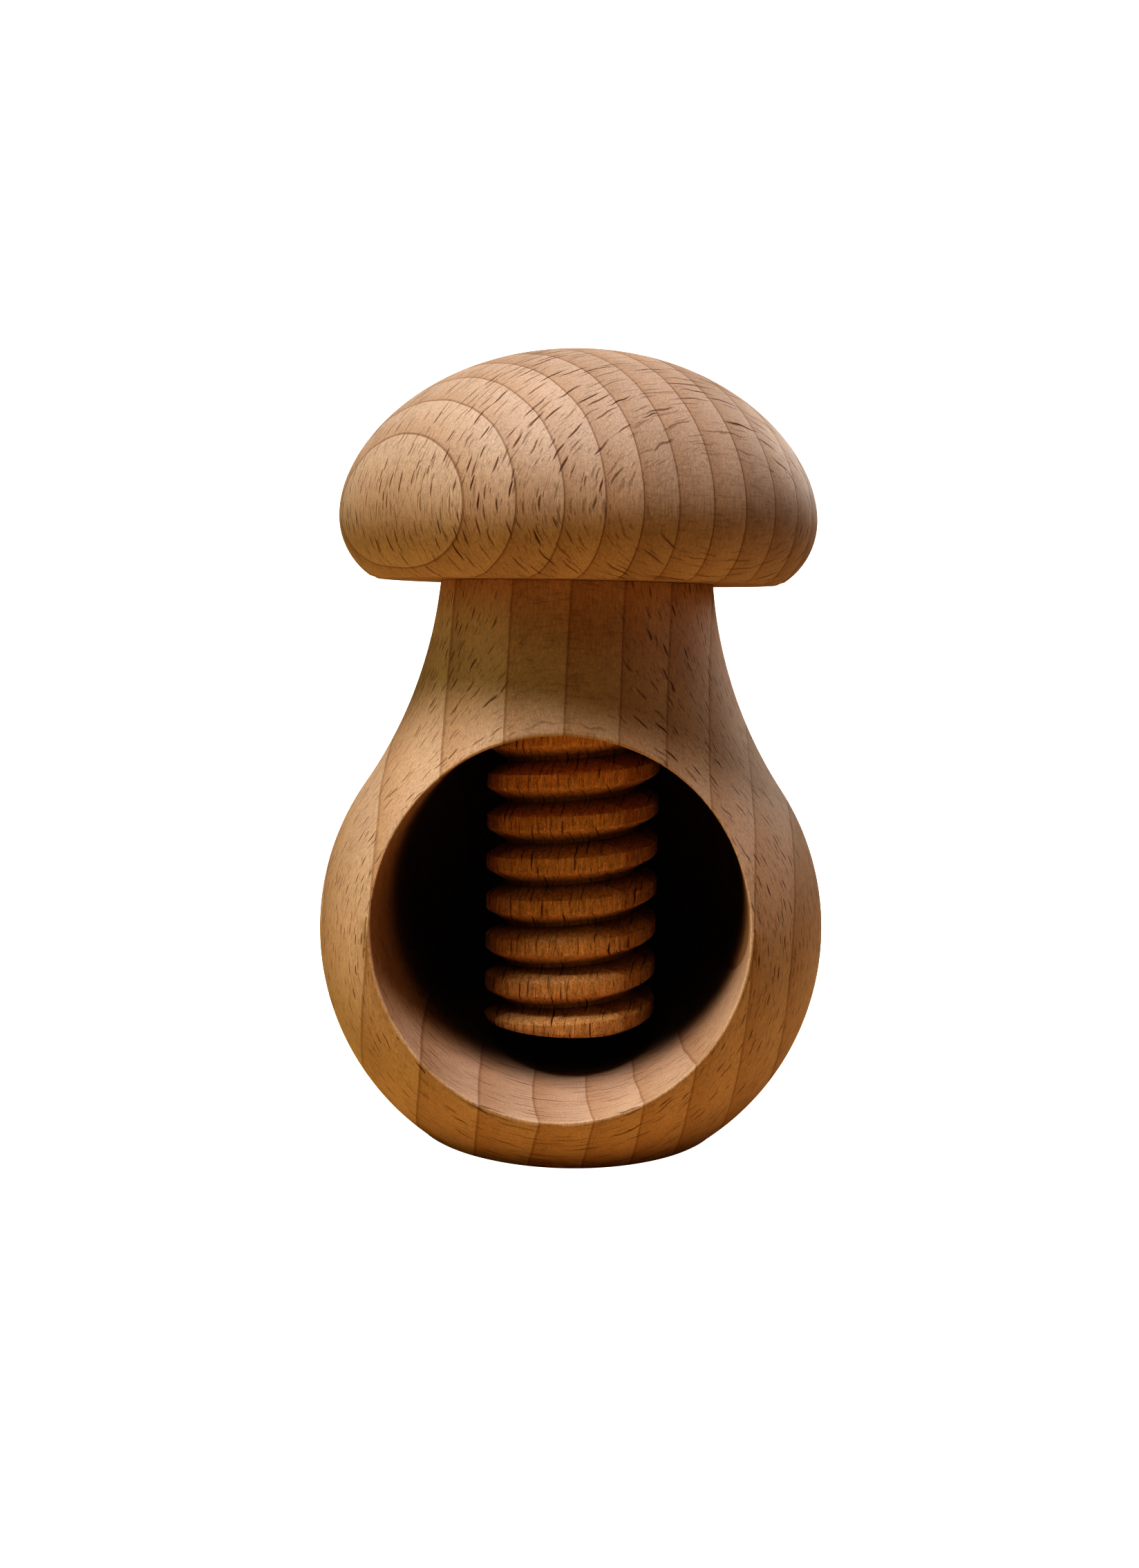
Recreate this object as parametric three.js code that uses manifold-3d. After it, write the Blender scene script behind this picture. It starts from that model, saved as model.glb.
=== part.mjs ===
// A mushroom-shaped screw nutcracker, turned from beech.
//
// The body is a hollowed ball that sweeps up into a neck. A chamber for the nut is bored into it from
// the front, and the neck carries a female thread. A wooden screw runs down through that thread into
// the chamber. The mushroom cap is the screw's handle: the screw's tenon is glued into a socket in
// the cap's underside, so cap and screw turn, rise and fall as one.
//
// Millimetres, +Z up. The origin is the centre of the foot, and the chamber's mouth faces -Y.
import * as THREE from 'three';
import { mergeVertices } from 'three/addons/utils/BufferGeometryUtils.js';
import Module from 'manifold-3d';

const wasm = await Module();
wasm.setup();

// ---------------------------------------------------------------- driving dimensions

const ball = {
  radius: 32.75,
  footRadius: 19.1, // where the ball meets the foot's plane, before the edge is rounded
  footEdge: 0.8, // how far the foot's edge is rounded back
};

const neck = {
  radius: 17.5, // at the top face
  sweepRadius: 56, // of the hollow curve between ball and neck
  tappedLength: 17.9, // from the top of the chamber to the top face
};

const chamber = {
  sideWall: 10.45, // wood left beside the chamber, at the ball's widest
  backWall: 8.5, // wood left behind its round end
  rise: 4.2, // of its axis above the ball's centre
};

const thread = {
  majorRadius: 11.2,
  depth: 2.5,
  pitch: 5.3, // right-hand, one start
  crestWidth: 1.95,
  rootWidth: 0.4,
  tipChamfer: 0.8,
};

const cap = {
  radius: 30.4,
  height: 29,
  bulgeRadius: 9, // section radius of the rolled rim
  bulgeRise: 7.8, // from the flat underside up to the widest ring
  sideFullness: 0.43, // how upright the dome leaves the widest ring, as a share of its rise
  crownFullness: 0.61, // how flat the dome arrives at the crown, as a share of its radius
};

const tenon = {
  length: 16,
  shoulder: 0.7, // step from the thread's root down to the tenon
  endChamfer: 0.8,
};

const glue = {
  thickness: 0.2,
};

// ---------------------------------------------------------------- clearances

const STOP_GAP = 0.3; // cap's underside to the neck's top, screwed right down
const TIP_GAP = 5.5; // screw's tip to the chamber's floor, screwed right down
const THREAD_RADIAL_GAP = 0.3;
const THREAD_AXIAL_GAP = 0.25; // on each flank
const JOINT_GAP = 0.1; // each side of the glue
const SOCKET_END_GAP = 0.8; // room past the tenon's end for spare glue

const CUT_PAST = 2; // how far a cutting tool runs past the face it opens

// ---------------------------------------------------------------- fineness

const AROUND = 56; // facets round a turned surface
const AROUND_CHAMBER = 48;
const AROUND_SMALL = 28; // facets round the tenon, its socket and the glue
const THREAD_STEPS = 24; // facets in one turn of thread

// ---------------------------------------------------------------- worked out from those

const ballCentre = Math.sqrt(ball.radius ** 2 - ball.footRadius ** 2);
const chamberRadius = ball.radius - chamber.sideWall;
const chamberCentre = ballCentre + chamber.rise;
const chamberFloor = chamberCentre - chamberRadius;
const neckTop = chamberCentre + chamberRadius + neck.tappedLength;
const rootRadius = thread.majorRadius - thread.depth;
const tenonRadius = rootRadius - tenon.shoulder;
const socketRadius = tenonRadius + glue.thickness + 2 * JOINT_GAP;
const socketDepth = tenon.length + SOCKET_END_GAP;
const capUnderside = neckTop + STOP_GAP;
const screwTip = chamberFloor + TIP_GAP;
const screwReach = capUnderside - screwTip;

// ---------------------------------------------------------------- helpers

/** Points on a circular arc in the (radius, height) plane, angles in degrees. */
function arc(centreRadius, centreHeight, radius, from, to, steps) {
  const start = THREE.MathUtils.degToRad(from);
  const end = THREE.MathUtils.degToRad(to);
  const curve = new THREE.EllipseCurve(centreRadius, centreHeight, radius, radius, start, end, to < from);
  return curve.getPoints(steps);
}

/** A point in the (radius, height) plane. */
function at(radius, height) {
  return new THREE.Vector2(radius, height);
}

/** A profile turned about +Z. It runs so that the wood lies on its left-hand side. */
function turned(profile, facets = AROUND) {
  return new THREE.LatheGeometry(profile, facets).rotateX(Math.PI / 2);
}

/** A closed geometry as a solid that can be cut and joined. */
function solidOf(geometry) {
  const bare = geometry.clone();
  bare.deleteAttribute('normal');
  bare.deleteAttribute('uv');
  const merged = mergeVertices(bare, 1e-4);
  return new wasm.Manifold(
    new wasm.Mesh({
      numProp: 3,
      vertProperties: merged.attributes.position.array,
      triVerts: new Uint32Array(merged.index.array),
    }),
  );
}

/** A solid back as a geometry. */
function geometryOf(solid) {
  const mesh = solid.getMesh();
  const geometry = new THREE.BufferGeometry();
  geometry.setAttribute('position', new THREE.BufferAttribute(mesh.vertProperties, 3));
  geometry.setIndex(new THREE.BufferAttribute(mesh.triVerts, 1));
  return geometry;
}

// ---------------------------------------------------------------- the thread

/** Half the tooth's width along the axis at a radius, on the screw's own flank line. */
function toothHalfWidth(radius) {
  const crest = thread.crestWidth / 2;
  const root = (thread.pitch - thread.rootWidth) / 2;
  return THREE.MathUtils.mapLinear(radius, rootRadius, thread.majorRadius, root, crest);
}

/**
 * A threaded rod between two heights, its end faces flat. Heights are measured from the screw's tip.
 * At the front (-Y) a crest starts exactly at the tip. With gaps it is the tool that cuts the female
 * thread: the same helix, grown by those gaps.
 */
function threadedRod(bottom, top, radialGap = 0, axialGap = 0) {
  const outer = thread.majorRadius + radialGap;
  const inner = rootRadius + radialGap;
  const buried = inner - thread.depth / 4; // the tooth's foot is sunk into the core
  const crest = toothHalfWidth(outer) + axialGap;
  const foot = toothHalfWidth(inner) + axialGap;
  const tooth = new THREE.Shape([
    at(-foot, buried),
    at(foot, buried),
    at(foot, inner),
    at(crest, outer),
    at(-crest, outer),
    at(-foot, inner),
  ]);

  // One turn to spare at each end, so that the flat faces cut a full thread.
  const firstTurn = Math.floor(bottom / thread.pitch) - 1;
  const turns = Math.ceil(top / thread.pitch) + 1 - firstTurn;
  const ridge = new THREE.ExtrudeGeometry(tooth, {
    depth: turns,
    steps: turns * THREAD_STEPS,
    bevelEnabled: false,
  });

  // Wrap the straight tooth (axial, radial, turns) round the axis.
  const start = thread.crestWidth / 2 + firstTurn * thread.pitch;
  const position = ridge.attributes.position;
  for (let i = 0; i < position.count; i++) {
    const angle = 2 * Math.PI * position.getZ(i) - Math.PI / 2;
    const radius = position.getY(i);
    const height = start + position.getX(i) + thread.pitch * position.getZ(i);
    position.setXYZ(i, radius * Math.cos(angle), radius * Math.sin(angle), height);
  }

  const core = turned([at(0, bottom), at(inner, bottom), at(inner, top), at(0, top)], THREAD_STEPS);
  const wide = outer + CUT_PAST;
  const trim = turned([at(0, bottom), at(wide, bottom), at(wide, top), at(0, top)], THREAD_STEPS);
  return solidOf(ridge).intersect(solidOf(trim)).add(solidOf(core));
}

// ---------------------------------------------------------------- the pieces

/** The body's outline: foot, ball, hollow sweep and neck, from the foot's centre to the top's. */
function bodyOutline() {
  // The sweep's circle touches the ball from outside and ends on the rim of the neck's top face.
  // Angles and points here are about the ball's centre until the last step.
  const rim = at(neck.radius, neckTop - ballCentre);
  const reach = rim.length();
  const centres = ball.radius + neck.sweepRadius;
  const along = (centres ** 2 - neck.sweepRadius ** 2 + reach ** 2) / (2 * reach);
  const aside = Math.sqrt(centres ** 2 - along ** 2);
  const toRim = rim.clone().normalize();
  const sweep = at(toRim.x * along + toRim.y * aside, toRim.y * along - toRim.x * aside);
  const touch = THREE.MathUtils.radToDeg(sweep.angle());
  const toNeck = THREE.MathUtils.radToDeg(rim.clone().sub(sweep).angle());

  const edgeAngle = Math.asin((ball.footEdge - ballCentre) / ball.radius);
  const edge = new THREE.QuadraticBezierCurve(
    at(ball.footRadius - ball.footEdge, 0),
    at(ball.footRadius, 0),
    at(ball.radius * Math.cos(edgeAngle), ball.footEdge),
  );

  const start = THREE.MathUtils.radToDeg(edgeAngle);
  return [
    at(0, 0),
    ...edge.getPoints(3),
    ...arc(0, ballCentre, ball.radius, start, touch, 14).slice(1),
    ...arc(sweep.x, ballCentre + sweep.y, neck.sweepRadius, touch + 180, toNeck, 7).slice(1),
    at(0, neckTop),
  ];
}

/** The tool that bores the chamber: a round-ended cylinder along Y, run out past the front. */
function chamberTool() {
  const roundCentre = ball.radius - chamber.backWall - chamberRadius;
  const front = -ball.radius - CUT_PAST;
  const profile = [
    at(0, front),
    at(chamberRadius, front),
    ...arc(0, roundCentre, chamberRadius, 0, 90, 11).slice(0, -1),
    at(0, roundCentre + chamberRadius),
  ];
  return new THREE.LatheGeometry(profile, AROUND_CHAMBER).translate(0, 0, chamberCentre);
}

function makeBody() {
  // The tap runs on from the chamber's axis, which is open space already, out past the neck's top.
  const bottom = chamberCentre - screwTip;
  const top = neckTop + CUT_PAST - screwTip;
  const tap = threadedRod(bottom, top, THREAD_RADIAL_GAP, THREAD_AXIAL_GAP).translate([0, 0, screwTip]);
  return geometryOf(solidOf(turned(bodyOutline())).subtract(solidOf(chamberTool())).subtract(tap));
}

/** The screw, with its tip at z = 0: thread, shoulder and tenon. */
function makeScrew() {
  const shoulder = screwReach - JOINT_GAP;
  const tenonTop = screwReach + tenon.length;
  const wide = thread.majorRadius + CUT_PAST;
  const blank = turned(
    [
      at(0, 0),
      at(thread.majorRadius - thread.tipChamfer, 0),
      at(wide, thread.tipChamfer + CUT_PAST),
      at(wide, shoulder),
      at(0, shoulder),
    ],
    THREAD_STEPS,
  );
  const stub = turned(
    [
      at(0, shoulder - thread.pitch),
      at(tenonRadius, shoulder - thread.pitch),
      at(tenonRadius, tenonTop - tenon.endChamfer),
      at(tenonRadius - tenon.endChamfer, tenonTop),
      at(0, tenonTop),
    ],
    AROUND_SMALL,
  );
  return geometryOf(threadedRod(0, shoulder).intersect(solidOf(blank)).add(solidOf(stub)));
}

/** The cap, with its flat underside at z = 0: socket, rolled rim and dome. */
function makeCap() {
  const bulgeCentre = cap.radius - cap.bulgeRadius;
  const rimStart = -THREE.MathUtils.radToDeg(Math.asin(cap.bulgeRise / cap.bulgeRadius));
  const domeRise = cap.height - cap.bulgeRise;
  const dome = new THREE.CubicBezierCurve(
    at(cap.radius, cap.bulgeRise),
    at(cap.radius, cap.bulgeRise + cap.sideFullness * domeRise),
    at(cap.radius * cap.crownFullness, cap.height),
    at(0, cap.height),
  );
  const outside = solidOf(
    turned([
      at(0, 0),
      ...arc(bulgeCentre, cap.bulgeRise, cap.bulgeRadius, rimStart, 0, 5),
      ...dome.getPoints(12).slice(1),
    ]),
  );
  const mouth = -CUT_PAST;
  const socket = turned(
    [at(0, mouth), at(socketRadius, mouth), at(socketRadius, socketDepth), at(0, socketDepth)],
    AROUND_SMALL,
  );
  return geometryOf(outside.subtract(solidOf(socket)));
}

/** The cured glue between tenon and socket: a thin sleeve, z = 0 at the cap's underside. */
function makeGlue() {
  const inner = tenonRadius + JOINT_GAP;
  const outer = inner + glue.thickness;
  const bottom = JOINT_GAP;
  const top = tenon.length - tenon.endChamfer;
  return turned(
    [at(inner, bottom), at(outer, bottom), at(outer, top), at(inner, top), at(inner, bottom)],
    AROUND_SMALL,
  );
}

// ---------------------------------------------------------------- materials

const beech = new THREE.MeshStandardMaterial({ color: 0xc48f5c, roughness: 0.55, metalness: 0 });
const capBeech = new THREE.MeshStandardMaterial({ color: 0xc9986a, roughness: 0.5, metalness: 0 });
const screwBeech = new THREE.MeshStandardMaterial({ color: 0xa8682f, roughness: 0.7, metalness: 0 });
const curedGlue = new THREE.MeshStandardMaterial({ color: 0xd9cfae, roughness: 0.4, metalness: 0 });

// ---------------------------------------------------------------- assembly

/** A named piece in its parent's frame. */
function piece(name, geometry, material, height) {
  geometry.computeVertexNormals();
  const mesh = new THREE.Mesh(geometry, material);
  mesh.name = name;
  mesh.position.z = height;
  return mesh;
}

// The spindle is all that turns. Its own frame sits at the cap's underside.
const spindle = new THREE.Group();
spindle.position.z = capUnderside;
spindle.add(piece('mushroom_cap', makeCap(), capBeech, 0));
spindle.add(piece('screw', makeScrew(), screwBeech, -screwReach));
spindle.add(piece('glue_sleeve', makeGlue(), curedGlue, 0));

const nutcracker = new THREE.Group();
nutcracker.add(piece('body', makeBody(), beech, 0));
nutcracker.add(spindle);

export default nutcracker;
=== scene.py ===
"""A mushroom-shaped screw nutcracker in turned beech, dressed over its fixed frame."""

import math

import bpy
from mathutils.kdtree import KDTree
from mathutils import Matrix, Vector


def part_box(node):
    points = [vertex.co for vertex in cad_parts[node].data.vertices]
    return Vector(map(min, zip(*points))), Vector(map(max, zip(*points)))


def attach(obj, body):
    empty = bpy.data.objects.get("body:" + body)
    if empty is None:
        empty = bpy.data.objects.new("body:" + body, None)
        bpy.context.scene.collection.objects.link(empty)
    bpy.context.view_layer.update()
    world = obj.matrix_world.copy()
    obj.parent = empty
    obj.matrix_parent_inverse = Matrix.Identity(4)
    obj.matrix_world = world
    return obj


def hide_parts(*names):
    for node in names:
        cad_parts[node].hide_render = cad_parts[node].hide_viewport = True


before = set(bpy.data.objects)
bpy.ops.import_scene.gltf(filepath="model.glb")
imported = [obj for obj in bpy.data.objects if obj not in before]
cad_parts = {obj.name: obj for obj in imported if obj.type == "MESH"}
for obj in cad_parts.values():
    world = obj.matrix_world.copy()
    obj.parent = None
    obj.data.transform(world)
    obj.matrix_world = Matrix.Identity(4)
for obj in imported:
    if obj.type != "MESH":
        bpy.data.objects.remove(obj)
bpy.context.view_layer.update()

MM = 0.001

# Sizes that the frame gives, in millimetres.
cap_low, cap_high = (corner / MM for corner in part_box("mushroom_cap"))
screw_low, screw_high = (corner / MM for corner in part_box("screw"))

BALL_RADIUS = 32.75
FOOT_RADIUS = 19.1
FOOT_EDGE = 0.8
BALL_CENTRE = math.sqrt(BALL_RADIUS**2 - FOOT_RADIUS**2)
CAP_GAP = 0.03  # keeps the cap just off the neck
NECK_TOP = cap_low.z - CAP_GAP
NECK_RADIUS = 17.5
NECK_SWEEP = 56
CHAMBER_RADIUS = 22.3
CHAMBER_RISE = 4.2  # of its axis above the ball's centre
CHAMBER_CENTRE = BALL_CENTRE + CHAMBER_RISE
BACK_WALL = 8.5  # wood left behind the chamber
CHAMBER_BACK = BALL_RADIUS - BACK_WALL
RIM_ROUNDING = 0.6
RIM_SPACING = 0.4  # closest that two corners of the rim may be
RIM_MARGIN = 0.85  # band beside the rim kept free for its rounding

SCREW_TIP = screw_low.z
TENON_TOP = screw_high.z
THREAD_RADIUS = 11.2
THREAD_DEPTH = 2.5
THREAD_PITCH = 5.3
CREST_WIDTH = 1.95
ROOT_WIDTH = 0.4
TENON_RADIUS = 8
TENON_CHAMFER = 0.8
THREAD_CLEARANCE = 0.3
TORN_DEPTH = 0.2
TORN_SIZE = 0.5

CAP_UNDERSIDE = cap_low.z
CAP_RADIUS = 30.4
CAP_HEIGHT = cap_high.z - cap_low.z
CAP_ROLL = 9
CAP_RISE = 7.8
SOCKET_RADIUS = 8.4
SOCKET_DEPTH = 16.8
CAP_SIDE_FULLNESS = 0.43  # how upright the dome leaves its widest ring
CAP_CROWN_FULLNESS = 0.61  # how flat it arrives at the crown

# Facets in one turn.
BODY_STEPS = 224
CAP_STEPS = 192
CHAMBER_STEPS = 128
SCREW_STEPS = 144
TAP_STEPS = 64
SMALL_STEPS = 96

SAME_PLACE = 0.0005  # corners closer than this are one
THREAD_SAME_PLACE = 0.01
SLIVER = 0.004  # longest edge that counts as a leftover of a cut


# ---------------------------------------------------------------- outlines


def arc(centre, radius, start, end, steps):
    """Points along a circular arc, angles in degrees, as (radius, height)."""
    points = []
    for step in range(steps + 1):
        angle = math.radians(start + (end - start) * step / steps)
        points.append((centre[0] + radius * math.cos(angle), centre[1] + radius * math.sin(angle)))
    return points


def smooth_curve(a, b, c, d, steps):
    """Points along a four-point Bezier curve."""
    points = []
    for step in range(steps + 1):
        t = step / steps
        weights = ((1 - t) ** 3, 3 * t * (1 - t) ** 2, 3 * t**2 * (1 - t), t**3)
        points.append(tuple(sum(w * p[i] for w, p in zip(weights, (a, b, c, d))) for i in (0, 1)))
    return points


def body_outline():
    """Foot, ball, hollow sweep and neck."""
    rim = (NECK_RADIUS, NECK_TOP - BALL_CENTRE)
    reach = math.hypot(*rim)
    centres = BALL_RADIUS + NECK_SWEEP
    along = (centres**2 - NECK_SWEEP**2 + reach**2) / (2 * reach)
    aside = math.sqrt(centres**2 - along**2)
    out = (rim[0] / reach, rim[1] / reach)
    sweep = (out[0] * along + out[1] * aside, out[1] * along - out[0] * aside)
    touch = math.degrees(math.atan2(sweep[1], sweep[0]))
    to_neck = 180 + math.degrees(math.atan2(sweep[1] - rim[1], sweep[0] - rim[0]))

    foot_angle = math.degrees(math.asin((FOOT_EDGE - BALL_CENTRE) / BALL_RADIUS))
    ball = arc((0, BALL_CENTRE), BALL_RADIUS, foot_angle, touch, 56)
    hollow = arc((sweep[0], BALL_CENTRE + sweep[1]), NECK_SWEEP, touch + 180, to_neck, 24)
    inside = FOOT_RADIUS - FOOT_EDGE
    foot = smooth_curve((inside, 0), (inside + 0.7, 0), (ball[0][0] - 0.3, 0.35), ball[0], 5)
    eased = 0.12
    neck_edge = [(NECK_RADIUS, NECK_TOP - eased), (NECK_RADIUS - 0.03, NECK_TOP - 0.03)]
    top = [(NECK_RADIUS - eased, NECK_TOP), (NECK_RADIUS / 2, NECK_TOP), (0, NECK_TOP)]
    return [(0, 0), (inside / 2, 0)] + foot + ball[1:] + hollow[1:-1] + neck_edge + top


def chamber_outline():
    """The chamber's tool: a round-ended cylinder, from outside the mouth to its back."""
    centre = CHAMBER_BACK - CHAMBER_RADIUS
    front = -BALL_RADIUS - 3
    wall = [(CHAMBER_RADIUS, y) for y in (front, -14, -8, -3)]  # no ring near the mouth's rim
    return [(0, front)] + wall + arc((0, centre), CHAMBER_RADIUS, 0, 90, 20)[:-1] + [(0, CHAMBER_BACK)]


def cap_outline():
    """Socket, flat underside, rolled rim and dome."""
    underside = CAP_UNDERSIDE
    crown = CAP_UNDERSIDE + CAP_HEIGHT
    widest = underside + CAP_RISE
    start = -math.degrees(math.asin(CAP_RISE / CAP_ROLL))
    roll = arc((CAP_RADIUS - CAP_ROLL, widest), CAP_ROLL, start, 0, 12)
    dome_rise = CAP_HEIGHT - CAP_RISE
    dome = smooth_curve(
        (CAP_RADIUS, widest),
        (CAP_RADIUS, widest + CAP_SIDE_FULLNESS * dome_rise),
        (CAP_CROWN_FULLNESS * CAP_RADIUS, crown),
        (0, crown),
        40,
    )
    edge = roll[0][0]
    eased = [(edge - 0.8, underside), (edge - 0.3, underside + 0.04), (edge + 0.1, underside + 0.25)]
    socket_top = underside + SOCKET_DEPTH
    socket = [(0, socket_top), (SOCKET_RADIUS, socket_top), (SOCKET_RADIUS, underside + 0.3)]
    mouth = [(SOCKET_RADIUS + 0.3, underside), ((SOCKET_RADIUS + edge) / 2, underside)]
    return socket + mouth + eased + roll[1:] + dome[1:]


# ---------------------------------------------------------------- modelling


def start_edit(piece):
    bpy.ops.object.select_all(action="DESELECT")
    bpy.context.view_layer.objects.active = piece
    piece.select_set(True)
    bpy.ops.object.mode_set(mode="EDIT")
    bpy.ops.mesh.select_mode(type="VERT")


def end_edit():
    bpy.ops.object.mode_set(mode="OBJECT")


def drawn_line(name, points, plane="XZ"):
    """A chain of edges drawn point by point through (radius, height), in the plane named."""
    bpy.ops.object.select_all(action="DESELECT")
    bpy.ops.mesh.primitive_plane_add(size=MM, location=(0, 0, 0))
    piece = bpy.context.object
    piece.name = name
    start_edit(piece)
    bpy.ops.mesh.select_all(action="SELECT")
    bpy.ops.mesh.merge(type="CENTER")
    place = {
        "XZ": lambda r, h: (r * MM, 0, h * MM),
        "XY": lambda r, h: (r * MM, h * MM, 0),
        "front": lambda r, h: (0, -r * MM, h * MM),
    }[plane]
    bpy.ops.transform.translate(value=place(*points[0]))
    for before, after in zip(points, points[1:]):
        step = place(after[0] - before[0], after[1] - before[1])
        bpy.ops.mesh.extrude_region_move(TRANSFORM_OT_translate={"value": step})
    end_edit()
    return piece


def turned(name, outline, steps, axis="Z"):
    """A piece turned on the lathe from its outline of (radius, height) points."""
    piece = drawn_line(name, outline, "XZ" if axis == "Z" else "XY")
    start_edit(piece)
    bpy.ops.mesh.select_all(action="SELECT")
    bpy.ops.mesh.spin(
        steps=steps, angle=2 * math.pi, center=(0, 0, 0), axis=(0, 0, 1) if axis == "Z" else (0, 1, 0)
    )
    bpy.ops.mesh.select_all(action="SELECT")
    bpy.ops.mesh.remove_doubles(threshold=SAME_PLACE * MM)
    bpy.ops.mesh.normals_make_consistent(inside=False)
    end_edit()
    return piece


def close_slivers(piece):
    """Merges corners that a cut leaves almost on top of each other."""
    start_edit(piece)
    bpy.ops.mesh.select_all(action="SELECT")
    bpy.ops.mesh.remove_doubles(threshold=SLIVER * MM)
    bpy.ops.mesh.dissolve_degenerate(threshold=SLIVER / 2 * MM)
    end_edit()


def split_many_sided(piece):
    """Splits faces of five or more sides into triangles, and clears any that have no area."""
    start_edit(piece)
    bpy.ops.mesh.select_mode(type="FACE")
    bpy.ops.mesh.select_all(action="DESELECT")
    bpy.ops.mesh.select_face_by_sides(number=4, type="GREATER", extend=False)
    bpy.ops.mesh.quads_convert_to_tris(ngon_method="BEAUTY")
    bpy.ops.mesh.select_all(action="SELECT")
    bpy.ops.mesh.dissolve_degenerate(threshold=SLIVER * MM)
    end_edit()


def cut(piece, tool, operation="DIFFERENCE"):
    """Cuts piece with tool, and takes the tool away."""
    bpy.ops.object.select_all(action="DESELECT")
    bpy.context.view_layer.objects.active = piece
    piece.select_set(True)
    bpy.ops.object.modifier_add(type="BOOLEAN")
    modifier = piece.modifiers[-1]
    modifier.operation = operation
    modifier.solver = "EXACT"
    modifier.object = tool
    bpy.ops.object.modifier_apply(modifier=modifier.name)
    bpy.data.objects.remove(tool)
    close_slivers(piece)


def thread_profile(grow):
    """One pitch of thread from mid-groove to mid-groove, crest in the middle at height 0."""
    outer = THREAD_RADIUS + grow
    inner = THREAD_RADIUS - THREAD_DEPTH + grow
    widen = grow * 0.4
    half_root = ROOT_WIDTH / 2 - widen
    half_crest = CREST_WIDTH / 2 + widen
    half = THREAD_PITCH / 2
    side = [(inner, half), (inner, half - half_root)]
    steps = 5
    for step in range(1, steps):
        share = step / steps
        height = (half - half_root) + (half_crest - (half - half_root)) * share
        side.append((inner + (outer - inner) * share, height))
    ease = 0.16
    side += [(outer - ease, half_crest + 0.05), (outer, half_crest - ease), (outer, half_crest / 3)]
    return [(radius, -height) for radius, height in side] + [(r, h) for r, h in reversed(side)]


def roughen(piece, depth, size):
    """Torn fibres: small lumps and hollows all over a surface."""
    torn = bpy.data.textures.new("torn_fibres", type="CLOUDS")
    torn.noise_scale = size * MM
    torn.noise_depth = 2
    bpy.ops.object.modifier_add(type="DISPLACE")
    push = piece.modifiers[-1]
    push.texture = torn
    push.texture_coords = "LOCAL"
    push.strength = depth * MM
    push.mid_level = 0.5
    bpy.ops.object.modifier_apply(modifier=push.name)


def trim(height, direction):
    """Cuts the piece being edited flat at a height, and drops what lies beyond, up (1) or down (-1)."""
    bpy.ops.mesh.select_all(action="SELECT")
    bpy.ops.mesh.bisect(
        plane_co=(0, 0, height * MM),
        plane_no=(0, 0, direction),
        use_fill=True,
        clear_outer=True,
        clear_inner=False,
    )


def threaded_rod(name, bottom, top, grow, steps, torn=0.0):
    """A threaded rod with flat ends. At the front a crest starts exactly at the screw's tip."""
    below = math.ceil((SCREW_TIP - bottom) / THREAD_PITCH) + 2
    start = SCREW_TIP + CREST_WIDTH / 2 - below * THREAD_PITCH
    turns = math.ceil((top - start) / THREAD_PITCH) + 2
    profile = [(radius, height + start) for radius, height in thread_profile(grow)]
    piece = drawn_line(name, profile, "front")
    bpy.ops.object.modifier_add(type="SCREW")
    winding = piece.modifiers[-1]
    winding.axis = "Z"
    winding.angle = 2 * math.pi
    winding.screw_offset = THREAD_PITCH * MM
    winding.iterations = turns
    winding.steps = steps
    winding.render_steps = steps
    winding.use_merge_vertices = True
    winding.merge_threshold = THREAD_SAME_PLACE * MM
    bpy.ops.object.modifier_apply(modifier=winding.name)
    start_edit(piece)
    bpy.ops.mesh.select_all(action="SELECT")
    bpy.ops.mesh.remove_doubles(threshold=THREAD_SAME_PLACE * MM)
    bpy.ops.mesh.normals_make_consistent(inside=False)
    end_edit()
    if torn:
        roughen(piece, torn, TORN_SIZE)
    start_edit(piece)
    trim(top, 1)
    trim(bottom, -1)
    bpy.ops.mesh.select_all(action="SELECT")
    bpy.ops.mesh.normals_make_consistent(inside=False)
    end_edit()
    return piece


def smooth(piece, degrees):
    bpy.ops.object.select_all(action="DESELECT")
    bpy.context.view_layer.objects.active = piece
    piece.select_set(True)
    bpy.ops.object.shade_smooth_by_angle(angle=math.radians(degrees))


def pick(mesh, chosen):
    """Selects vertices and the edges between them, and nothing else."""
    for vertex in mesh.vertices:
        vertex.select = vertex.index in chosen
    for edge in mesh.edges:
        edge.select = all(index in chosen for index in edge.vertices)
    for face in mesh.polygons:
        face.select = False


def rim_vertices(piece):
    """The corners along the sharp rim of the chamber's mouth."""
    start_edit(piece)
    bpy.ops.mesh.select_mode(type="EDGE")
    bpy.ops.mesh.select_all(action="DESELECT")
    bpy.ops.mesh.edges_select_sharp(sharpness=math.radians(22))
    end_edit()
    mesh = piece.data
    found = set()
    for edge in mesh.edges:
        ends = [mesh.vertices[index].co / MM for index in edge.vertices]
        from_axis = [math.hypot(end.x, end.z - CHAMBER_CENTRE) for end in ends]
        on_wall = [abs(distance - CHAMBER_RADIUS) < 0.03 for distance in from_axis]
        if edge.select and all(on_wall) and max(end.y for end in ends) < -15:
            found.update(edge.vertices)
    return found


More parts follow.
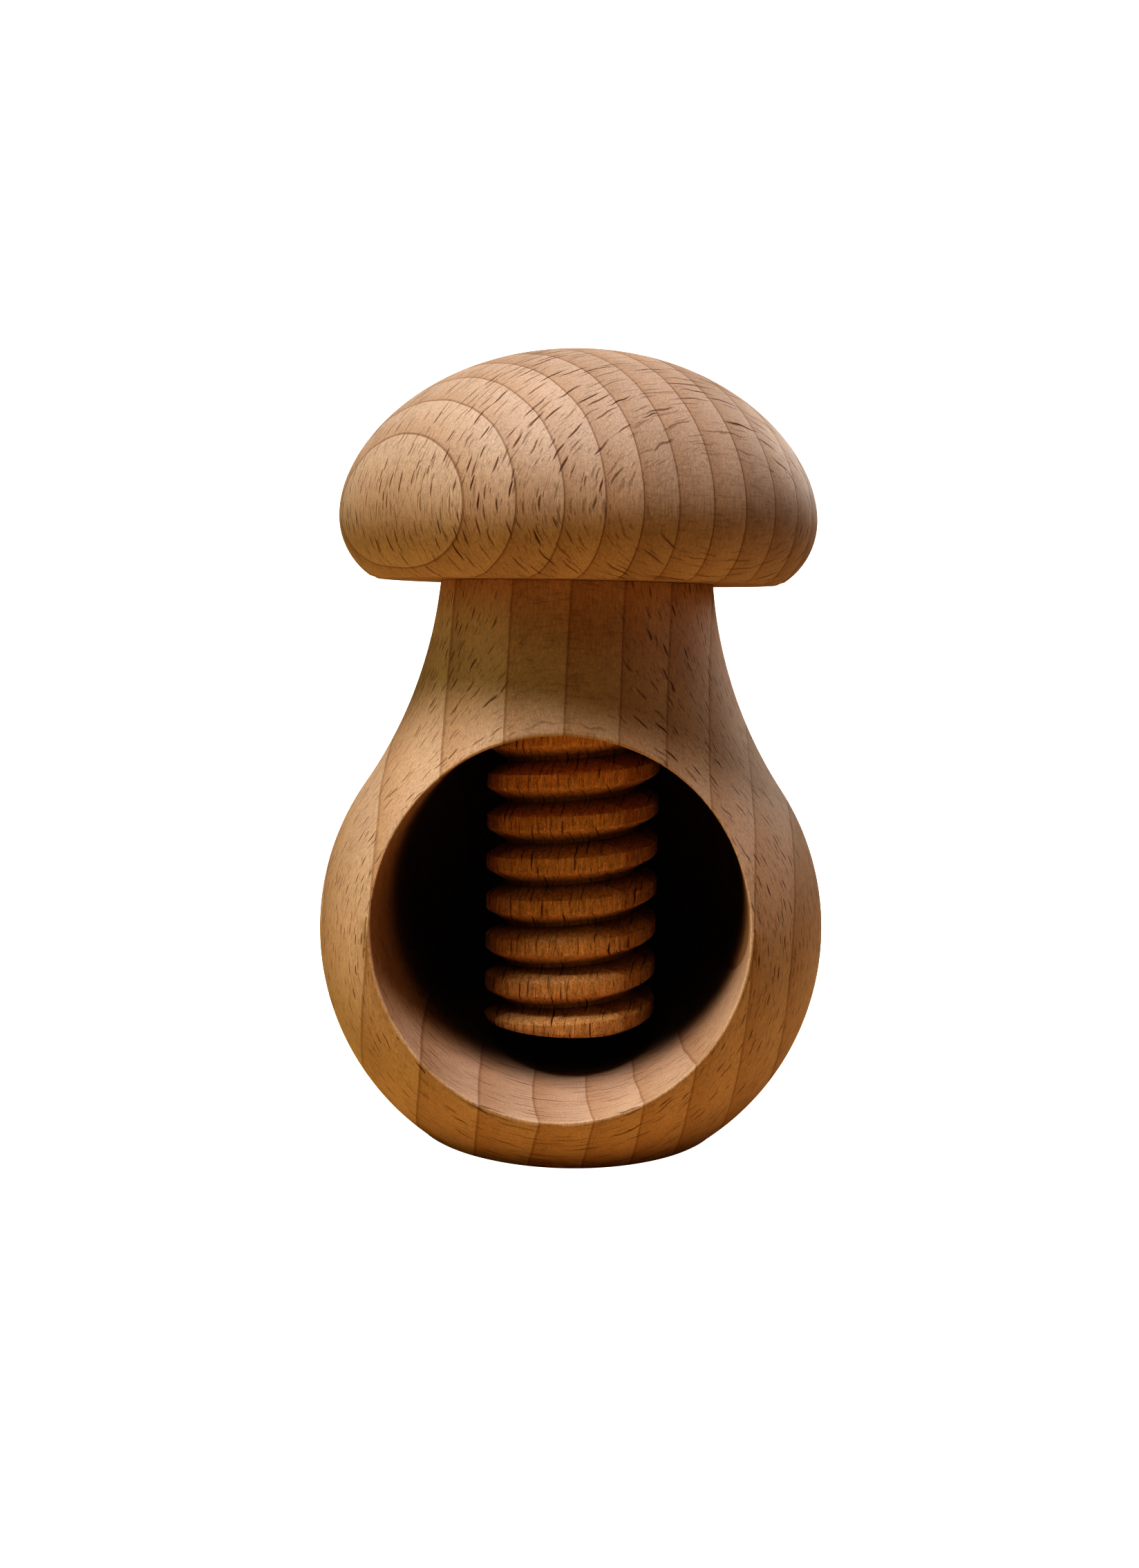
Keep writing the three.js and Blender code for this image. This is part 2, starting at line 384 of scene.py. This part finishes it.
def ease_mouth(piece):
    """Rounds the sharp rim of the chamber's mouth."""
    mesh = piece.data
    pick(mesh, rim_vertices(piece))
    start_edit(piece)
    bpy.ops.mesh.remove_doubles(threshold=RIM_SPACING * MM)
    end_edit()

    rim = rim_vertices(piece)
    nearby = KDTree(len(rim))
    for index in rim:
        nearby.insert(mesh.vertices[index].co, index)
    nearby.balance()
    crowding = {
        v.index for v in mesh.vertices if v.index not in rim and nearby.find(v.co)[2] < RIM_MARGIN * MM
    }
    pick(mesh, crowding)
    start_edit(piece)
    bpy.ops.mesh.dissolve_verts()
    end_edit()

    pick(mesh, rim_vertices(piece))
    start_edit(piece)
    bpy.ops.mesh.select_mode(type="EDGE")
    bpy.ops.mesh.bevel(offset=RIM_ROUNDING * MM, segments=4, affect="EDGES", clamp_overlap=False)
    end_edit()


# ---------------------------------------------------------------- finishes


class Finish:
    """A material's nodes, added one by one."""

    def __init__(self, name):
        self.material = bpy.data.materials.new(name)
        self.material.use_nodes = True
        self.tree = self.material.node_tree
        self.shader = self.tree.nodes["Principled BSDF"]

    def node(self, kind, values=None, **settings):
        made = self.tree.nodes.new(kind)
        for key, value in settings.items():
            setattr(made, key, value)
        for socket, value in (values or {}).items():
            self.put(made.inputs[socket], value)
        return made

    def put(self, socket, value):
        if isinstance(value, bpy.types.NodeSocket):
            self.tree.links.new(value, socket)
        else:
            socket.default_value = value

    def math(self, operation, *values, clamp=False):
        made = self.node("ShaderNodeMath", operation=operation, use_clamp=clamp)
        for index, value in enumerate(values):
            self.put(made.inputs[index], value)
        return made.outputs[0]

    def vector_math(self, operation, *values):
        made = self.node("ShaderNodeVectorMath", operation=operation)
        for index, value in enumerate(values):
            self.put(made.inputs[index], value)
        gives_number = operation in ("DOT_PRODUCT", "LENGTH", "DISTANCE")
        return made.outputs["Value" if gives_number else "Vector"]

    def mix(self, factor, a, b):
        made = self.node("ShaderNodeMix", data_type="RGBA")
        self.put(made.inputs["Factor"], factor)
        self.put(made.inputs["A"], a)
        self.put(made.inputs["B"], b)
        return made.outputs["Result"]

    def ramp(self, value, low, high, to_low=0.0, to_high=1.0, smooth=False):
        made = self.node("ShaderNodeMapRange", interpolation_type="SMOOTHSTEP" if smooth else "LINEAR")
        for socket, number in zip(("Value", "From Min", "From Max", "To Min", "To Max"),
                                  (value, low, high, to_low, to_high)):
            self.put(made.inputs[socket], number)
        return made.outputs["Result"]

    def noise(self, place, scale, detail=2.0, roughness=0.5):
        made = self.node("ShaderNodeTexNoise", {"Vector": place, "Scale": scale, "Detail": detail,
                                                "Roughness": roughness})
        return made.outputs["Fac"]

    def scaled(self, vector, amount):
        made = self.node("ShaderNodeVectorMath", {"Vector": vector}, operation="SCALE")
        self.put(made.inputs["Scale"], amount)
        return made.outputs["Vector"]

    def stretched(self, place, x, y, z):
        """Coordinates divided by a size along each axis."""
        return self.vector_math("MULTIPLY", place, (1 / x, 1 / y, 1 / z))


def beech(name, growth, spacing, start, swell, over, lean, bow, middle, early, late, ray, big, small,
          line_depth=0.2, ray_depth=0.8, fuzz=1.0, fibre=0.22, darker=None):
    """Solid beech, fibres upright.

    growth is the direction, in degrees from +X, in which the tree grew, spacing the width of a ring,
    start where one ring ends. The ring width drifts by swell, over so many rings. lean tips the rings
    over with height, and bow curves them, about middle along the ring. early, late and ray are the
    colours of a ring's two seasons and of its rays. big and small give the ray flecks' thickness,
    length, height and gaps, and fibre is a fibre's width. darker is a function that gives the share
    of its colour that the wood keeps at a place, which paints shade into grooves and hollows.
    """
    f = Finish(name)
    coordinates = f.node("ShaderNodeTexCoord")
    place = f.scaled(coordinates.outputs["Object"], 1 / MM)
    angle = math.radians(growth)
    out = (math.cos(angle), math.sin(angle), 0)
    across = (-math.sin(angle), math.cos(angle), 0)

    # The wood's own axes: r outwards from the pith, s along a ring, height up the fibres.
    height = f.vector_math("DOT_PRODUCT", place, (0, 0, 1))
    r = f.vector_math("DOT_PRODUCT", place, out)
    s = f.vector_math("DOT_PRODUCT", place, across)
    wander = f.noise(f.stretched(place, 16, 16, 60), 1.0, 2.0)
    r_bent = f.math("ADD", r, f.math("MULTIPLY", height, lean))
    r_bent = f.math("ADD", r_bent, f.ramp(wander, 0.0, 1.0, -0.7, 0.7))
    off_middle = f.math("SUBTRACT", s, middle)
    bent_away = f.math("MULTIPLY", f.math("MULTIPLY", off_middle, off_middle), bow)
    distance = f.math("SUBTRACT", r_bent, bent_away)
    ring = f.math("DIVIDE", f.math("SUBTRACT", distance, start), spacing)
    drift_of_width = f.math("SINE", f.math("MULTIPLY", ring, math.pi / over))
    ring = f.math("SUBTRACT", ring, f.math("MULTIPLY", drift_of_width, swell))
    within = f.math("FRACT", ring)
    season = f.math("POWER", within, 1.5)
    line_start = f.ramp(within, 0.93, 0.985, smooth=True)
    line = f.math("MULTIPLY", line_start, f.ramp(within, 0.985, 1.0, 1.0, 0.2))
    whole_ring = f.node("ShaderNodeTexWhiteNoise", {"W": f.math("FLOOR", ring)}, noise_dimensions="1D")
    ring_tone = f.ramp(whole_ring.outputs["Value"], 0.0, 1.0, -0.035, 0.035)

    # Fibres: fine upright streaks, pores, and a broad drift of tone.
    fibres = f.noise(f.stretched(place, fibre, fibre, 2.6), 1.0, 3.0, 0.65)
    pores = f.noise(f.stretched(place, 0.1, 0.1, 0.3), 1.0, 2.0, 0.6)
    drift = f.noise(f.stretched(place, 9, 9, 24), 1.0, 3.0, 0.55)

    # Rays: thin upright ribbons that run outwards from the pith.
    def rays(thick, long, tall, gap_s, gap_r, gap_z, seed):
        waver = f.ramp(f.noise(f.stretched(place, 2.5, 2.5, 3.5), 1.0, 1.0), 0.0, 1.0, -0.35, 0.35)
        along = f.node("ShaderNodeCombineXYZ", {
            "X": f.math("DIVIDE", f.math("ADD", s, waver), gap_s), "Y": f.math("DIVIDE", r, gap_r),
            "Z": f.math("DIVIDE", height, gap_z)})
        placed = f.vector_math("ADD", along.outputs[0], (seed, seed * 2.3, seed * 0.7))
        cells = f.node("ShaderNodeTexVoronoi", {"Vector": placed, "Scale": 1.0, "Randomness": 1.0})
        off = f.vector_math("SUBTRACT", placed, cells.outputs["Position"])
        off = f.vector_math("MULTIPLY", off, (2 * gap_s / thick, 2 * gap_r / long, 2 * gap_z / tall))
        chosen = f.node("ShaderNodeSeparateColor", {"Color": cells.outputs["Color"]}).outputs[0]
        shape = f.ramp(f.vector_math("LENGTH", off), 0.5, 1.0, 1.0, 0.0, smooth=True)
        return f.math("MULTIPLY", shape, f.ramp(f.math("POWER", chosen, 1.3), 0.0, 1.0, 0.3, 1.0))

    big_rays = rays(*big, 0.0)
    small_rays = rays(*small, 5.3)

    # A ray shows dark where it is cut across, and hardly at all where it lies in the surface.
    facing_s = f.math("ABSOLUTE", f.vector_math("DOT_PRODUCT", coordinates.outputs["Normal"], across))
    flat_on = f.ramp(facing_s, 0.8, 0.97, smooth=True)
    cut_across = f.math("SUBTRACT", 1.0, f.math("MULTIPLY", flat_on, 0.92))
    big_rays = f.math("MULTIPLY", big_rays, cut_across)
    small_rays = f.math("MULTIPLY", small_rays, cut_across)
    silver = f.noise(f.node("ShaderNodeCombineXYZ", {
        "X": f.math("DIVIDE", s, 0.5), "Y": f.math("DIVIDE", r, 2.2), "Z": f.math("DIVIDE", height, 0.34)}
    ).outputs[0], 1.0, 2.0, 0.55)
    silver = f.math("MULTIPLY", f.ramp(silver, 0.5, 0.75), flat_on)

    colour = f.mix(season, early, late)
    colour = f.mix(f.math("MULTIPLY", line, line_depth), colour, ray)
    streaks = f.ramp(fibres, 0.25, 0.75, -0.11 * fuzz, 0.11 * fuzz)
    shade = f.math("ADD", streaks, f.ramp(drift, 0.3, 0.7, -0.05, 0.05))
    shade = f.math("ADD", shade, f.ramp(pores, 0.3, 0.7, -0.09 * fuzz, 0.09 * fuzz))
    shade = f.math("SUBTRACT", shade, f.math("MULTIPLY", silver, 0.2))
    shade = f.math("ADD", 1.0, f.math("ADD", shade, ring_tone))
    # Painted shade: the function given as darker darkens the colour in grooves and hollows.
    if darker:
        shade = f.math("MULTIPLY", shade, darker(f, place, height))
    colour = f.mix(f.math("MULTIPLY", small_rays, 0.55 * ray_depth), colour, ray)
    colour = f.mix(f.math("MULTIPLY", big_rays, ray_depth), colour, ray)
    f.put(f.shader.inputs["Base Color"], f.scaled(colour, shade))

    rough = f.math("ADD", f.ramp(fibres, 0.2, 0.8, 0.5, 0.62), f.math("MULTIPLY", big_rays, 0.12))
    f.put(f.shader.inputs["Roughness"], rough)
    f.shader.inputs["Specular IOR Level"].default_value = 0.35

    surface = f.math("ADD", f.math("MULTIPLY", fibres, 0.5 * fuzz), f.math("MULTIPLY", pores, 0.5 * fuzz))
    surface = f.math("SUBTRACT", surface, f.math("MULTIPLY", big_rays, 0.9))
    surface = f.math("SUBTRACT", surface, f.math("MULTIPLY", silver, 0.25))
    bump = f.node("ShaderNodeBump", {"Strength": 0.6, "Distance": 0.07 * MM, "Height": surface})
    f.put(f.shader.inputs["Normal"], bump.outputs["Normal"])
    return f.material


def painted_groove_shade(f, place, height):
    """Painted shade in the screw's grooves: they are darker than its crests."""
    flat = f.vector_math("MULTIPLY", place, (1, 1, 0))
    root = THREAD_RADIUS - THREAD_DEPTH
    # Painted shade: colour falls to 0.42 at the thread's root and rises to full towards the crest.
    return f.ramp(f.vector_math("LENGTH", flat), root, THREAD_RADIUS - 0.35, 0.42, 1.0)


def painted_chamber_shade(f, place, height):
    """Painted shade inside the chamber: the wood's colour is darker the deeper it lies in the ball."""
    # Painted shade: darkens the chamber's walls and back towards its far end, away from the mouth.
    depth = f.ramp(f.vector_math("DOT_PRODUCT", place, (0, 1, 0)), -15, -3, smooth=True)
    from_centre = f.vector_math("DISTANCE", place, (0, 0, BALL_CENTRE))
    inside = f.ramp(from_centre, BALL_RADIUS - 0.9, BALL_RADIUS - 1.9)
    above_foot = f.ramp(height, 4, 7)
    dark = f.math("MULTIPLY", depth, f.math("MULTIPLY", inside, above_foot))
    return f.ramp(dark, 0.0, 1.0, 1.0, 0.32)


def cured_glue():
    """Hard yellowish wood glue with a few cloudy patches."""
    f = Finish("cured glue")
    coordinates = f.node("ShaderNodeTexCoord")
    clouds = f.noise(coordinates.outputs["Object"], 400, 3.0)
    f.put(f.shader.inputs["Base Color"], f.mix(clouds, (0.62, 0.5, 0.27, 1), (0.78, 0.7, 0.48, 1)))
    f.put(f.shader.inputs["Roughness"], f.ramp(clouds, 0.3, 0.7, 0.3, 0.5))
    return f.material


# ---------------------------------------------------------------- pieces


def make_body():
    piece = turned("turned_body", body_outline(), BODY_STEPS)
    tool = turned("chamber_tool", chamber_outline(), CHAMBER_STEPS, axis="Y")
    start_edit(tool)
    bpy.ops.mesh.select_all(action="SELECT")
    bpy.ops.transform.translate(value=(0, 0, CHAMBER_CENTRE * MM))
    end_edit()
    cut(piece, tool)
    cut(piece, threaded_rod("thread_tap", CHAMBER_CENTRE, NECK_TOP + 2, THREAD_CLEARANCE, TAP_STEPS))
    ease_mouth(piece)
    smooth(piece, 30)
    piece.data.materials.append(
        beech(
            "body beech",
            growth=180,
            spacing=6.44,
            start=18.8,
            swell=0.21,
            over=5,
            lean=0.056,
            bow=-0.0031,
            middle=0,
            early=(0.68, 0.48, 0.36, 1),
            late=(0.58, 0.375, 0.25, 1),
            ray=(0.13, 0.045, 0.02, 1),
            big=(0.2, 7, 2.1, 1.0, 6.5, 1.8),
            small=(0.12, 4, 0.9, 0.5, 4, 0.85),
            line_depth=0.26,
            ray_depth=0.95,
            fuzz=1.5,
            darker=painted_chamber_shade,
        )
    )
    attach(piece, "body")
    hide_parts("body")


def make_screw():
    shoulder = CAP_UNDERSIDE - 0.1
    piece = threaded_rod("threaded_screw", SCREW_TIP, shoulder, 0, SCREW_STEPS, torn=TORN_DEPTH)
    blank = turned(
        "screw_blank",
        [
            (0, SCREW_TIP),
            (THREAD_RADIUS - 0.7, SCREW_TIP),
            (THREAD_RADIUS - 0.25, SCREW_TIP + 0.15),
            (THREAD_RADIUS + 0.02, SCREW_TIP + 0.6),
            (THREAD_RADIUS + 3, SCREW_TIP + 4),
            (THREAD_RADIUS + 3, shoulder + 1),
            (0, shoulder + 1),
        ],
        SMALL_STEPS,
    )
    cut(piece, blank, "INTERSECT")
    tenon = turned(
        "screw_tenon",
        [
            (0, shoulder - 3),
            (TENON_RADIUS, shoulder - 3),
            (TENON_RADIUS, TENON_TOP - TENON_CHAMFER),
            (TENON_RADIUS - TENON_CHAMFER, TENON_TOP),
            (0, TENON_TOP),
        ],
        SMALL_STEPS,
    )
    cut(piece, tenon, "UNION")
    split_many_sided(piece)
    smooth(piece, 35)
    piece.data.materials.append(
        beech(
            "screw beech",
            growth=262,
            spacing=5.5,
            start=2.0,
            swell=0.1,
            over=5,
            lean=0.0,
            bow=-0.005,
            middle=0,
            early=(0.82, 0.5, 0.24, 1),
            late=(0.66, 0.36, 0.15, 1),
            ray=(0.1, 0.03, 0.01, 1),
            big=(0.26, 7, 3.2, 1.35, 7, 2.6),
            small=(0.16, 4, 1.4, 0.7, 4, 1.2),
            line_depth=0.0,
            ray_depth=0.95,
            fuzz=3,
            fibre=0.36,
            darker=painted_groove_shade,
        )
    )
    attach(piece, "press")
    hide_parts("screw")


def make_cap():
    piece = turned("turned_cap", cap_outline(), CAP_STEPS)
    smooth(piece, 30)
    piece.data.materials.append(
        beech(
            "cap beech",
            growth=220,
            spacing=4.29,
            start=-11.8,
            swell=0.41,
            over=9,
            lean=0.0,
            bow=0.003,
            middle=14,
            early=(0.64, 0.465, 0.365, 1),
            late=(0.54, 0.36, 0.255, 1),
            ray=(0.13, 0.045, 0.02, 1),
            big=(0.24, 8, 2.6, 0.95, 7.5, 2.1),
            small=(0.13, 4, 1.1, 0.5, 4, 0.95),
            line_depth=0.45,
            ray_depth=1.0,
            fuzz=1.6,
        )
    )
    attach(piece, "press")
    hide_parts("mushroom_cap")


def make_glue():
    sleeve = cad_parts["glue_sleeve"]
    sleeve.data.materials.clear()
    sleeve.data.materials.append(cured_glue())


# ---------------------------------------------------------------- stage, light and camera


def stage_plane(name, size, colour, place, glow=0.0):
    """A matt plane for the object to stand on, glowing white if asked."""
    bpy.ops.object.select_all(action="DESELECT")
    bpy.ops.mesh.primitive_plane_add(size=size, location=place)
    plane = bpy.context.object
    plane.name = name
    f = Finish(name)
    f.shader.inputs["Base Color"].default_value = colour
    f.shader.inputs["Roughness"].default_value = 0.9
    f.shader.inputs["Specular IOR Level"].default_value = 0.1
    if glow:
        f.shader.inputs["Emission Color"].default_value = (1, 1, 1, 1)
        f.shader.inputs["Emission Strength"].default_value = glow
    plane.data.materials.append(f.material)
    return plane


def make_floor():
    """A white floor to look at, and under it a warm card that lights the wood from below."""
    floor = stage_plane("floor", 8, (0.8, 0.8, 0.8, 1), (0, 0, -0.0001), glow=0.75)
    floor.visible_diffuse = False
    floor.visible_glossy = False
    floor.visible_shadow = False
    card = stage_plane("card", 0.34, (0.7, 0.48, 0.19, 1), (-0.05, -0.03, -0.0002))
    card.visible_camera = False


def area_light(name, place, target, size, power, colour):
    bpy.ops.object.light_add(type="AREA", location=place)
    lamp = bpy.context.object
    lamp.name = name
    lamp.data.shape = "DISK"
    lamp.data.size = size
    lamp.data.energy = power
    lamp.data.color = colour
    aim = [t - p for t, p in zip(target, place)]
    flat = math.hypot(aim[0], aim[1])
    lamp.rotation_euler = (math.atan2(flat, -aim[2]), 0, math.atan2(aim[1], aim[0]) - math.pi / 2)


def make_lights():
    area_light("key", (-0.2, -0.27, 0.85), (0, 0, 0.05), 0.3, 5.1, (0.98, 0.98, 1))
    area_light("high front", (-0.1, -0.6, 0.7), (0, 0, 0.05), 0.3, 0.3, (1, 0.94, 0.4))
    area_light("left fill", (-0.7, -0.15, 0.3), (0, 0, 0.05), 0.5, 0.7, (0.8, 1, 0.6))
    area_light("back fill", (0.5, 0.7, 0.4), (0, 0, 0.05), 0.5, 2.0, (1, 0.97, 0.9))
    area_light("right edge", (0.7, 0.1, 0.25), (0, 0, 0.05), 0.35, 0.4, (0.9, 0.9, 1))
    world = bpy.data.worlds.new("studio")
    bpy.context.scene.world = world
    world.use_nodes = True
    nodes, links = world.node_tree.nodes, world.node_tree.links
    direction = nodes.new("ShaderNodeTexCoord")
    split = nodes.new("ShaderNodeSeparateXYZ")
    links.new(direction.outputs["Generated"], split.inputs[0])
    blend = nodes.new("ShaderNodeMapRange")
    blend.inputs["From Min"].default_value = -0.25
    blend.inputs["From Max"].default_value = 0.35
    links.new(split.outputs["Z"], blend.inputs["Value"])
    tint = nodes.new("ShaderNodeMix")
    tint.data_type = "RGBA"
    tint.inputs["A"].default_value = (0.1, 0.05, 0.02, 1)
    tint.inputs["B"].default_value = (0.01, 0.012, 0.01, 1)
    links.new(blend.outputs["Result"], tint.inputs["Factor"])
    back = nodes["Background"]
    links.new(tint.outputs["Result"], back.inputs["Color"])
    back.inputs["Strength"].default_value = 1.0
    seen = nodes.new("ShaderNodeBackground")
    seen.inputs["Color"].default_value = (1, 1, 1, 1)
    ray = nodes.new("ShaderNodeLightPath")
    choose = nodes.new("ShaderNodeMixShader")
    links.new(ray.outputs["Is Camera Ray"], choose.inputs[0])
    links.new(back.outputs[0], choose.inputs[1])
    links.new(seen.outputs[0], choose.inputs[2])
    links.new(choose.outputs[0], nodes["World Output"].inputs["Surface"])


def make_camera():
    azimuth = math.radians(3.6)
    downward = 6.25
    roll = math.radians(-1.05)
    distance, height, aside = 0.2033, 0.0674, -0.0009
    bpy.ops.object.camera_add(
        location=(distance * math.sin(azimuth) + aside, -distance * math.cos(azimuth), height),
        rotation=(math.radians(90 - downward), roll, azimuth),
    )
    camera = bpy.context.object
    camera.data.sensor_width = 36
    camera.data.lens = 35.87
    camera.data.clip_start = 0.01
    bpy.context.scene.camera = camera


make_body()
make_screw()
make_cap()
make_glue()
make_floor()
make_lights()
make_camera()

bpy.context.scene.view_settings.view_transform = "Standard"
bpy.context.scene.view_settings.look = "Very High Contrast"
